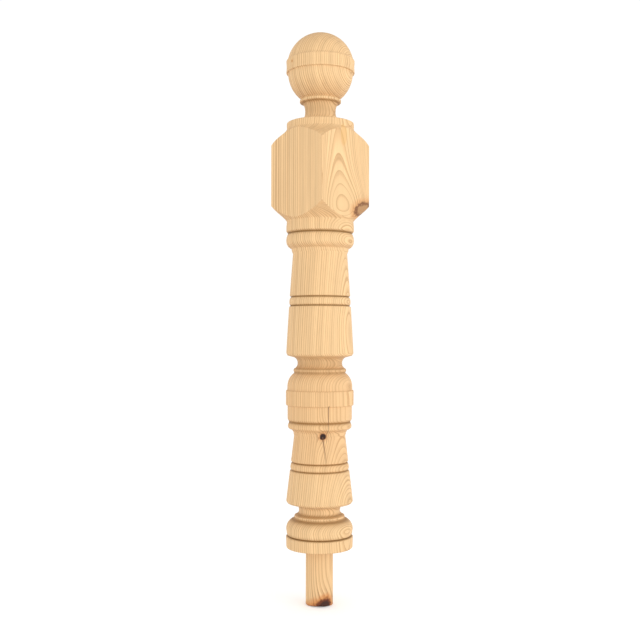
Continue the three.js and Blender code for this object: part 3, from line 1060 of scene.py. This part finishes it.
# %% [markdown]
# ## The colour of knots and cracks
# A knot has a dark rim of bark and a heart, with an orange halo and darker lines in the wood round it.
# Its edge isn't a true circle, so a slow noise moves it. All distances are shares of the knot's radius.

# %% Knot and crack colours
KNOT_WAVES = (0.22, 0.22, 0.22)
KNOT_UNEVEN = 0.7
KNOT_REACH = 3.2
LINE_REACH = 2.8
LINE_SHARE = 0.55
HALO_END = 1.9
HEART_EDGE = (0.5, 0.85)
RIM_EDGE = (0.8, 1.2)
CRACK_BROWN = (0.13, 0.05, 0.02, 1.0)


def knot_colour(board, colour, position, rings, distances):
    """Halo, lines, then a disc that goes from the heart's colour to the rim's."""
    uneven = board.times(board.less(board.noise(position, KNOT_WAVES), 0.5), KNOT_UNEVEN)
    for name, knot in KNOTS.items():
        edge = board.add(board.math("DIVIDE", distances[name], knot.radius), uneven)
        close = board.gate(position, knot.centre, KNOT_REACH * knot.radius)
        halo = board.times(board.ramp(edge, 1.0, HALO_END, knot.halo, 0.0), close)
        colour = board.mix(halo, colour, HALO_ORANGE)
        beside = board.gate(position, knot.centre, LINE_REACH * knot.radius)
        colour = board.mix(board.times(rings["Late"], beside, LINE_SHARE), colour, knot.rim)
        body = board.mix(board.fall(edge, *HEART_EDGE), knot.rim, knot.heart)
        colour = board.mix(board.times(board.fall(edge, *RIM_EDGE), close), colour, body)
    return colour


def crack_colour(board, colour, position):
    """Dark brown where a crack's mask is."""
    for share, sizes in CRACKS:
        split = board.use(crack, position=position, **sizes)["Mask"]
        colour = board.mix(board.times(split, share), colour, CRACK_BROWN)
    return colour


print("knots and cracks get their own colours")

# %% [markdown]
# ## The pine
# The material reads the position in the post, asks each branch how far it pulls the rings outwards, and
# asks for the rings there. The surface is dull, a little rougher in the streaks. A faint relief follows
# the summer wood, which stands proud after sanding, and the tool marks.

# %% Pine material
SPECULAR = 0.35
ROUGH_LEVEL = (0.2, 0.8, 0.56, 0.7)
LATE_RELIEF, STREAK_RELIEF, MARK_RELIEF = 0.5, 0.35, 0.3
BUMP_STRENGTH = 0.35
BUMP_METRES = 0.0003


def pine_material():
    """Rings, fibres, knots and cracks joined to one wood shader."""
    material = bpy.data.materials.new("bare_pine")
    material.use_nodes = True
    board = Board(material.node_tree)
    shader = board.tree.nodes["Principled BSDF"]

    position = board.scaled(board.node("ShaderNodeTexCoord").outputs["Object"], 1 / MM)
    pull = 0.0
    distances = {}
    for name, knot in KNOTS.items():
        arm = board.use(branch, position=position, centre=knot.centre, axis=knot.axis, reach=knot.reach,
                        depth=knot.depth)
        pull = board.add(pull, arm["Pull"])
        distances[name] = arm["Distance"]
    planed_number = board.node("ShaderNodeAttribute", attribute_name="planed").outputs["Fac"]
    rings = board.use(rings_tree, position=position, pull=pull, wobble=RING_WOBBLE)
    grain = board.use(fibres, position=position, planed=planed_number)

    colour = wood_colour(board, position, rings, grain)
    colour = knot_colour(board, colour, position, rings, distances)
    board.join(crack_colour(board, colour, position), shader.inputs["Base Color"])
    board.join(SPECULAR, shader.inputs["Specular IOR Level"])
    board.join(board.ramp(grain["Streak"], *ROUGH_LEVEL, "LINEAR"), shader.inputs["Roughness"])

    relief = board.add(board.times(rings["Late"], LATE_RELIEF), board.times(grain["Streak"], STREAK_RELIEF),
                       board.times(grain["Marks"], MARK_RELIEF))
    bump = board.node("ShaderNodeBump")
    for name, value in (("Strength", BUMP_STRENGTH), ("Distance", BUMP_METRES), ("Height", relief)):
        board.join(value, bump.inputs[name])
    board.join(bump.outputs["Normal"], shader.inputs["Normal"])
    return material


post_mesh.materials.append(pine_material())
print("bare pine made with", len(post_mesh.materials[0].node_tree.nodes), "nodes")
